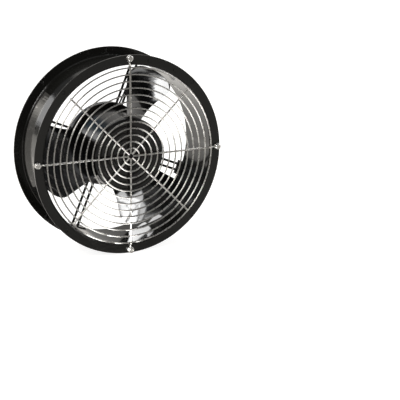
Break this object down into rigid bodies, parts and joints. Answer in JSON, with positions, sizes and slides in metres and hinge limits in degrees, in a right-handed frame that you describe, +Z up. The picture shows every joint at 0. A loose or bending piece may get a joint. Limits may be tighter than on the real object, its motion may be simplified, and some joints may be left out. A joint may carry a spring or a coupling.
{
  "type": "axial fan",
  "caption": "Round axial fan: double-flanged black steel casing, bright wire guard, external-rotor motor on paired rod struts, broad curved black blades.",
  "frame": {"origin": "centre of the rear flange's mounting face, on the fan axis", "axes": "+Y along the fan axis out of the rear flange's mounting face, so the guard side faces -Y; +Z up, +X to the right seen from the guard side"},
  "size_m": [0.2802, 0.096, 0.2802],
  "materials": {
    "casing_paint": "satin",
    "guard_wire": "satin nickel plate",
    "bright_steel": "zinc plate",
    "motor_paint": "black coat, satin",
    "rotor_paint": "satin",
    "blade_paint": "gloss",
    "core_steel": "plain",
    "bearing_steel": "ground",
    "cage_alloy": "cast",
    "copper": "enamelled wire",
    "insulator": "matt",
    "lead_sleeve": "matt",
    "block_plastic": "matt",
    "tab_metal": "tinned"
  },
  "bodies": {
    "fan_body": {"casing": "casing_paint", "guard_ring_01": "guard_wire", "guard_ring_02": "guard_wire", "guard_ring_03": "guard_wire", "guard_ring_04": "guard_wire", "guard_ring_05": "guard_wire", "guard_ring_06": "guard_wire", "guard_ring_07": "guard_wire", "guard_ring_08": "guard_wire", "guard_ring_09": "guard_wire", "guard_ring_10": "guard_wire", "guard_ring_11": "guard_wire", "guard_ring_12": "guard_wire", "guard_ring_13": "guard_wire", "guard_long_wire_right": "guard_wire", "guard_long_wire_top": "guard_wire", "guard_long_wire_left": "guard_wire", "guard_long_wire_bottom": "guard_wire", "guard_short_wire_1": "guard_wire", "guard_short_wire_2": "guard_wire", "guard_short_wire_3": "guard_wire", "guard_short_wire_4": "guard_wire", "guard_screws": "bright_steel", "guard_nuts": "bright_steel", "strut_rods_top": "casing_paint", "strut_rods_left": "casing_paint", "strut_rods_bottom": "casing_paint", "strut_rods_right": "casing_paint", "strut_foot_top": "casing_paint", "strut_foot_left": "casing_paint", "strut_foot_bottom": "casing_paint", "strut_foot_right": "casing_paint", "motor_plate": "motor_paint", "bearing_cap": "motor_paint", "stator_core": "core_steel", "stator_windings": "copper", "front_winding_insulator": "insulator", "rear_winding_insulator": "insulator", "front_bearing_outer_ring": "bearing_steel", "rear_bearing_outer_ring": "bearing_steel", "preload_spring": "core_steel", "motor_leads": "lead_sleeve", "terminal_bracket": "core_steel", "bracket_rivets": "casing_paint", "terminal_block": "block_plastic", "terminal_tabs": "tab_metal"},
    "impeller": {"rotor_cup": "rotor_paint", "rotor_core": "core_steel", "rotor_cage": "cage_alloy", "shaft": "core_steel", "front_bearing_inner_ring": "bearing_steel", "rear_bearing_inner_ring": "bearing_steel", "front_bearing_balls": "bearing_steel", "rear_bearing_balls": "bearing_steel", "retaining_ring": "core_steel", "blade_1": "blade_paint", "blade_2": "blade_paint", "blade_3": "blade_paint"}
  },
  "joints": [
    {"name": "impeller_spin", "type": "hinge", "parent": "fan_body", "child": "impeller", "pos_m": [0, -0.04, 0], "axis": [0, 1, 0], "continuous": true}
  ]
}
